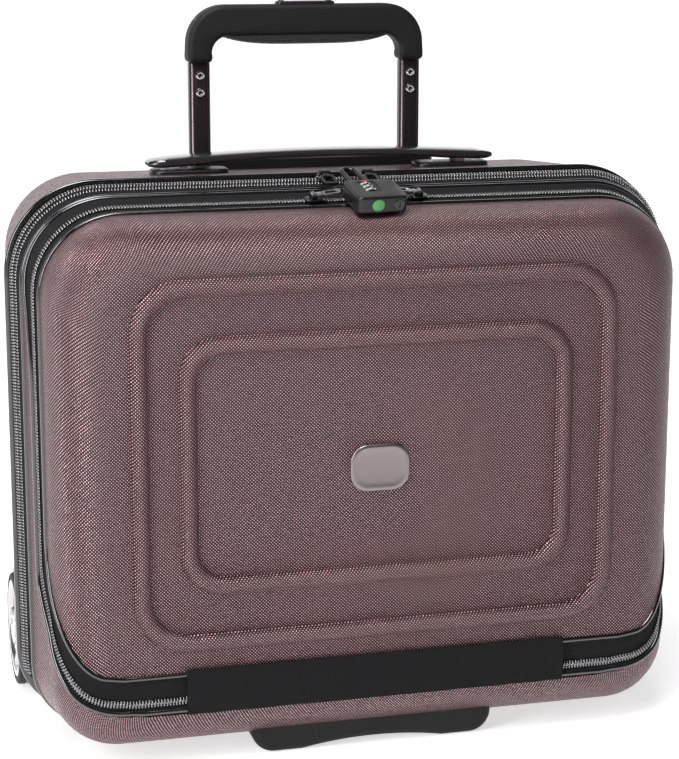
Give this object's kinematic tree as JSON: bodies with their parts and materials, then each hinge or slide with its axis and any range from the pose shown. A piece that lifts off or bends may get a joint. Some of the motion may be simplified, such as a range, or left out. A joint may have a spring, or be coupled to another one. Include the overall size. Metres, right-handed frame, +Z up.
{
  "type": "pilot rolling flight case",
  "caption": "Hard-shell rolling flight case with a zipped front pocket, telescopic trolley, carry handle and corner wheels.",
  "frame": {"origin": "on the floor, under the middle of the case's box", "axes": "+X to the viewer's right when facing the front panel, +Y from the front panel to the back wall, +Z up"},
  "size_m": [0.422, 0.216, 0.449],
  "materials": {
    "shell": "woven relief, semi-gloss",
    "piping": "glossy",
    "tape": "woven",
    "strap": "woven",
    "lining": "satin weave",
    "black_plastic": "satin",
    "rubber": "matte",
    "tyre": "matte",
    "tube": "gunmetal anodised",
    "steel": "plated",
    "chrome": "polished",
    "slider_metal": "black nickel",
    "lock_body": "satin",
    "badge_metal": "satin gunmetal",
    "green_dot": "printed disc"
  },
  "bodies": {
    "rear_case": {"rear_shell": "shell", "rear_piping": "piping", "main_zip_rear": "tape", "rear_lining": "lining", "trolley_cup": "black_plastic", "outer_tube_left": "tube", "outer_tube_right": "tube", "trolley_bracket": "black_plastic", "wheel_housing_left": "black_plastic", "wheel_housing_right": "black_plastic", "axle_left": "steel", "axle_right": "steel", "handle_base_left": "black_plastic", "handle_base_right": "black_plastic", "rear_screws": "steel", "main_hinge_strip": "tape"},
    "front_frame": {"mid_shell": "shell", "mid_piping": "piping", "main_zip_front": "tape", "pocket_zip_frame": "tape", "pocket_divider": "lining", "front_foot": "rubber", "foot_screws": "steel", "front_hinge_strap": "strap"},
    "front_panel": {"panel_shell": "shell", "panel_piping": "piping", "pocket_zip_panel": "tape", "badge": "badge_metal", "panel_lining": "lining"},
    "wheel_left": {"tyre_left": "tyre", "hub_left": "chrome"},
    "wheel_right": {"tyre_right": "tyre", "hub_right": "chrome"},
    "carry_handle_body": {"carry_handle": "black_plastic", "handle_slides": "steel"},
    "trolley_middle": {"middle_tube_left": "tube", "middle_tube_right": "tube"},
    "trolley_top": {"top_tube_left": "tube", "top_tube_right": "tube", "trolley_grip": "black_plastic", "grip_pad": "rubber", "grip_rivets": "chrome"},
    "trolley_release": {"trolley_button": "black_plastic", "release_link": "steel"},
    "main_slider_left_body": {"main_slider_left": "slider_metal"},
    "main_slider_right_body": {"main_slider_right": "slider_metal"},
    "pocket_slider_left_body": {"pocket_slider_left": "slider_metal"},
    "pocket_slider_right_body": {"pocket_slider_right": "slider_metal"},
    "main_pull_left_body": {"main_pull_left": "slider_metal"},
    "main_pull_right_body": {"main_pull_right": "slider_metal"},
    "pocket_pull_left_body": {"pocket_pull_left": "slider_metal"},
    "pocket_pull_right_body": {"pocket_pull_right": "slider_metal"},
    "padlock": {"padlock_case": "lock_body", "padlock_side": "lock_body", "padlock_dot": "green_dot"},
    "padlock_shackle_body": {"padlock_shackle": "steel"},
    "dial_front_body": {"dial_front": "chrome"},
    "dial_middle_body": {"dial_middle": "chrome"},
    "dial_rear_body": {"dial_rear": "chrome"},
    "key_plug_body": {"key_plug": "slider_metal"}
  },
  "joints": [
    {"name": "wheel_left_spin", "type": "hinge", "parent": "rear_case", "child": "wheel_left", "pos_m": [-0.1935, 0.07, 0.0375], "axis": [1, 0, 0], "continuous": true},
    {"name": "wheel_right_spin", "type": "hinge", "parent": "rear_case", "child": "wheel_right", "pos_m": [0.1935, 0.07, 0.0375], "axis": [1, 0, 0], "continuous": true},
    {"name": "carry_handle_lift", "type": "slide", "parent": "rear_case", "child": "carry_handle_body", "axis": [0, 0, 1], "range_m": [0, 0.012]},
    {"name": "trolley_stage_one", "type": "slide", "parent": "rear_case", "child": "trolley_middle", "axis": [0, 0, 1], "range_m": [0, 0.23]},
    {"name": "trolley_stage_two", "type": "slide", "parent": "trolley_middle", "child": "trolley_top", "axis": [0, 0, 1], "range_m": [-0.1, 0.132]},
    {"name": "trolley_release_press", "type": "slide", "parent": "trolley_top", "child": "trolley_release", "axis": [0, 0, -1], "range_m": [0, 0.002], "stiffness_N_per_m": 600, "springref_m": -0.004},
    {"name": "case_opening", "type": "hinge", "parent": "rear_case", "child": "front_frame", "pos_m": [0, -0.032, 0.009], "axis": [1, 0, 0], "range_deg": [0, 90], "deforming": ["main_hinge_strip"]},
    {"name": "pocket_opening", "type": "hinge", "parent": "front_frame", "child": "front_panel", "pos_m": [0, -0.106, 0.0455], "axis": [1, 0, 0], "range_deg": [0, 60], "deforming": ["front_hinge_strap"]},
    {"name": "main_slider_left_run", "type": "slide", "parent": "front_frame", "child": "main_slider_left_body", "axis": [-1, 0, 0], "range_m": [0, 0.13]},
    {"name": "pocket_slider_left_run", "type": "slide", "parent": "front_frame", "child": "pocket_slider_left_body", "axis": [-1, 0, 0], "range_m": [0, 0.11]},
    {"name": "main_pull_left_swing", "type": "hinge", "parent": "main_slider_left_body", "child": "main_pull_left_body", "pos_m": [-0.0155, -0.032, 0.34955], "axis": [-1, 0, 0], "range_deg": [0, 150]},
    {"name": "pocket_pull_left_swing", "type": "hinge", "parent": "pocket_slider_left_body", "child": "pocket_pull_left_body", "pos_m": [-0.03, -0.06325, 0.3402], "axis": [0, -0.9701, -0.2425], "range_deg": [0, 150]},
    {"name": "main_slider_right_run", "type": "slide", "parent": "front_frame", "child": "main_slider_right_body", "axis": [1, 0, 0], "range_m": [0, 0.13]},
    {"name": "pocket_slider_right_run", "type": "slide", "parent": "front_frame", "child": "pocket_slider_right_body", "axis": [1, 0, 0], "range_m": [0, 0.11]},
    {"name": "main_pull_right_swing", "type": "hinge", "parent": "main_slider_right_body", "child": "main_pull_right_body", "pos_m": [0.0115, -0.032, 0.34955], "axis": [-1, 0, 0], "range_deg": [0, 150]},
    {"name": "pocket_pull_right_swing", "type": "hinge", "parent": "pocket_slider_right_body", "child": "pocket_pull_right_body", "pos_m": [0.036, -0.06325, 0.3402], "axis": [0, 0.9701, 0.2425], "range_deg": [0, 150]},
    {"name": "padlock_swing", "type": "hinge", "parent": "front_panel", "child": "padlock", "pos_m": [0, -0.034, 0.3514], "axis": [-0.9962, -0.087, 0], "range_deg": [0, 100]},
    {"name": "shackle_release", "type": "slide", "parent": "padlock", "child": "padlock_shackle_body", "axis": [-0.085, 0.9666, 0.2419], "range_m": [0, 0.0035]},
    {"name": "dial_rear_turn", "type": "hinge", "parent": "padlock", "child": "dial_rear_body", "pos_m": [0.00024, -0.07118, 0.34298], "axis": [0.085, -0.9666, -0.2419], "continuous": true},
    {"name": "dial_middle_turn", "type": "hinge", "parent": "padlock", "child": "dial_middle_body", "pos_m": [0.00065, -0.07583, 0.34182], "axis": [0.085, -0.9666, -0.2419], "continuous": true},
    {"name": "dial_front_turn", "type": "hinge", "parent": "padlock", "child": "dial_front_body", "pos_m": [0.00105, -0.08046, 0.34066], "axis": [0.085, -0.9666, -0.2419], "continuous": true},
    {"name": "key_plug_turn", "type": "hinge", "parent": "padlock", "child": "key_plug_body", "pos_m": [0.01532, -0.09207, 0.33664], "axis": [-0.085, 0.9666, 0.2419], "range_deg": [0, 90]}
  ]
}
